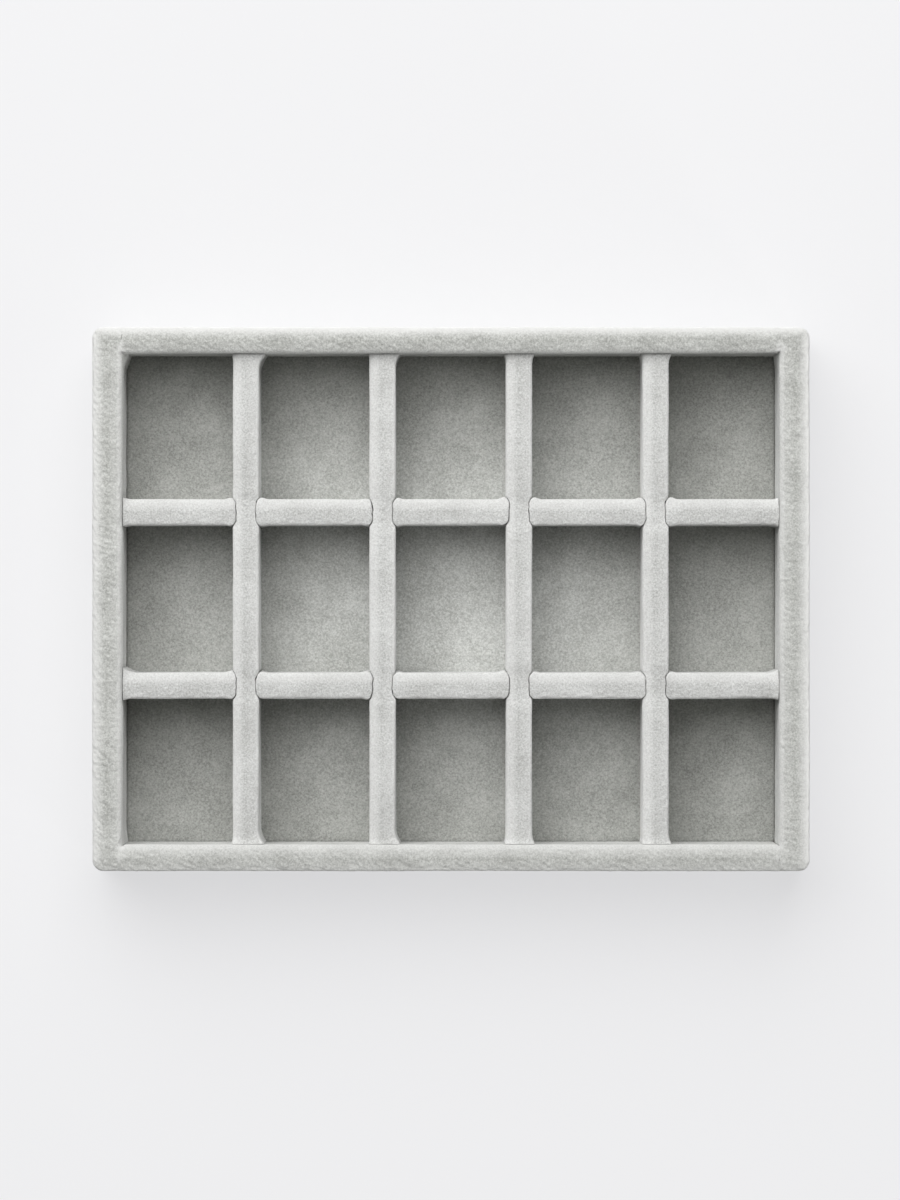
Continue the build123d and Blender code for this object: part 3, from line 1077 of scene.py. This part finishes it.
def pressed_greyboard(name, dark, pale, fleck):
    """Greyboard pressed from waste paper: dull grey-brown, cloudy, with stray pale fibres.

    Its clouds are 3 mm wide. Real fibres are hair-thin, so they are drawn 0.4 mm wide to show.
    """
    material, tree, place = new_material(name)
    settings = {"Scale": 1 / 3, "Detail": 4.0, "Roughness": 0.6}
    clouds = add(tree, "TexNoise", settings, {"Vector": place})
    stops = ((0.32, dark), (0.7, pale))
    tone = add(tree, "ValToRGB", {"color_ramp": stops}, {"Fac": clouds.outputs["Fac"]})
    settings = {"operation": "MULTIPLY", 1: (0.35, 1.6, 1.0)}
    long_way = add(tree, "VectorMath", settings, {0: place})
    settings = {"Scale": 1 / 0.4, "Detail": 2.0, "Distortion": 2.0}
    fibres = add(tree, "TexNoise", settings, {"Vector": long_way.outputs[0]})
    height = fibres.outputs["Fac"]
    stray = add(tree, "MapRange", {"From Min": 0.66, "From Max": 0.72}, {"Value": height})
    settings = {"data_type": "RGBA", 7: linear(fleck)}
    flecked = add(tree, "Mix", settings, {0: stray.outputs[0], 6: tone.outputs["Color"]})
    settings = {"Roughness": 0.85, "Specular IOR Level": 0.3}
    surface_of(tree, flecked.outputs[2], height, 0.3, 0.05, settings)
    return material


def needled_felt(name, dark, pale):
    """Thin needle-punched polyester felt: mid grey, a flat tangle of fibres with no weave.

    Real fibres are about 0.02 mm thick, so the tangle is drawn 0.5 mm wide to show.
    """
    material, tree, place = new_material(name)
    settings = {"Scale": 1 / 0.5, "Detail": 5.0, "Roughness": 0.7, "Distortion": 1.2}
    tangle = add(tree, "TexNoise", settings, {"Vector": place})
    height = tangle.outputs["Fac"]
    stops = ((0.34, dark), (0.68, pale))
    tone = add(tree, "ValToRGB", {"color_ramp": stops}, {"Fac": height})
    settings = {
        "Roughness": 1.0,
        "Specular IOR Level": 0.1,
        "Sheen Weight": 0.4,
        "Sheen Roughness": 0.6,
    }
    surface_of(tree, tone.outputs["Color"], height, 0.5, 0.12, settings)
    return material


# The same velour in lit and shaded copies: painted lighter on the dividers, and painted darker on
# the rims and the floor, for light that is brighter in the tray's middle. The last colour is the
# painted sheen's.
rim_velour = cut_pile_velour("cut_pile_velour_rims", "#9FA09B", "#DADBD7", "#F6F6F4")
velour = cut_pile_velour("cut_pile_velour_dividers", "#B2B2AF", "#E9EAE8", "#F8F8F6")
floor_velour = cut_pile_velour("cut_pile_velour_floor", "#A8A9A5", "#E5E6E3", "#F6F6F4")
foam = slabstock_foam("slabstock_foam", "#B9B4A2", "#EFECDF")
greyboard = pressed_greyboard("pressed_greyboard", "#8C867B", "#A79F92", "#CFC9BC")
felt = needled_felt("needled_felt", "#6F6E6B", "#98968F")


# Which body each piece rides on, and what it stands for


def dress(piece, material, body, node):
    """Gives a piece its material, its body and the CAD node that it stands for."""
    piece.data.materials.clear()
    piece.data.materials.append(material)
    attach(piece, body)
    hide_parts(node)


def cut(width, length):
    """The size of a cut cloth in metres."""
    return (width / MM_PER_M, length / MM_PER_M)


STRIP_RISE = DIVIDER_TOP - FLOOR_TOP

for strip in longs + crosses:
    cover, padding = strip_pieces[strip.name]
    dress(cover, velour, strip.body, f"{strip.name}_velour")
    dress(padding, foam, strip.body, f"{strip.name}_foam")
    corners = 4 * STRIP_RISE * (STRIP_RISE - DIVIDER_HALF)
for name, (cover, padding) in wall_pieces.items():
    dress(cover, rim_velour, "tray", f"{name}_velour")
    dress(padding, foam, "tray", f"{name}_foam")
    side = name in ("left_wall", "right_wall")
dress(floor_cover, floor_velour, "tray", "floor_velour")
dress(felt_sheet, felt, "tray", "underside_felt")

boards = ["base_board", "floor_card"]
boards += [f"{name}_board" for name in wall_pieces]
boards += [f"{strip.name}_core" for strip in longs + crosses]
for name in boards:
    for material_slot in bpy.data.objects[name].material_slots:
        material_slot.material = greyboard


# Table, light and camera

TABLE_REACH = 6.0
corners = [(x * TABLE_REACH, y * TABLE_REACH, 0) for x, y in ((-1, -1), (1, -1), (1, 1), (-1, 1))]
table = bpy.data.meshes.new("table")
table.from_pydata(corners, [], [(0, 1, 2, 3)])
table_top = put("table", table)

# The camera sees the table partly as plain bright paper, which the light doesn't change
paper, tree, place = new_material("pale_table")
path = add(tree, "LightPath")
lit = add(tree, "BsdfDiffuse", {"Color": linear("#E9E9E9")})
shown = add(tree, "Emission", {"Color": linear("#F8F8FA"), "Strength": 1.0})
settings = {"operation": "MULTIPLY", 1: 0.66}
share = add(tree, "Math", settings, {0: path.outputs["Is Camera Ray"]})
links = {0: share.outputs[0], 1: lit.outputs[0], 2: shown.outputs[0]}
both = add(tree, "MixShader", {}, links)
add(tree, "OutputMaterial", {}, {"Surface": both.outputs[0]})
table.materials.append(paper)

world = bpy.data.worlds.new("studio")
bpy.context.scene.world = world
world.use_nodes = True
background = world.node_tree.nodes["Background"]
background.inputs["Color"].default_value = linear("#FFFFFF")
background.inputs["Strength"].default_value = 0.12


def soft_lamp(name, elevation, turn, away, spread, brightness):
    """A round soft lamp aimed at the middle. Turn goes from the back to the left, in degrees.

    A brightness of 1 lights a white surface that faces the lamp just to white.
    """
    elevation, turn, spread = (math.radians(angle) for angle in (elevation, turn, spread))
    data = bpy.data.lights.new(name, "AREA")
    data.shape = "DISK"
    data.size = 2 * away * math.tan(spread)
    data.energy = brightness * math.pi**2 * (away / math.cos(spread)) ** 2
    lamp = put(name, data)
    lamp.visible_camera = False
    towards = Vector((
        -math.sin(turn) * math.cos(elevation),
        math.cos(turn) * math.cos(elevation),
        math.sin(elevation),
    ))
    lamp.location = towards * away
    lamp.rotation_euler = (-towards).to_track_quat("-Z", "Y").to_euler()


# The softbox gives the light's direction. The low fill only reaches the outer walls turned from it.
soft_lamp("softbox", elevation=50, turn=18, away=1.2, spread=34, brightness=1.02)
soft_lamp("fill", elevation=8, turn=222, away=1.0, spread=7, brightness=0.3)

# The photo's frame and scale, how far its middle lies from the tray's, and the camera's distance
FRAME_PIXELS = 1200
PIXELS_PER_M = 4.636 * MM_PER_M
MIDDLE_PIXELS = (-0.75, -1.0)
CAMERA_ABOVE_RIM = 1.35
SENSOR_MM = 36
camera_data = bpy.data.cameras.new("camera")
camera_data.sensor_width = SENSOR_MM
camera_data.lens = SENSOR_MM * CAMERA_ABOVE_RIM / (FRAME_PIXELS / PIXELS_PER_M)
camera_data.clip_end = 20
camera = put("camera", camera_data)
right, up = (pixels / PIXELS_PER_M for pixels in MIDDLE_PIXELS)
camera.location = (right, up, CAMERA_ABOVE_RIM + RIM_TOP / MM_PER_M)
bpy.context.scene.camera = camera
bpy.context.scene.view_settings.view_transform = "Standard"
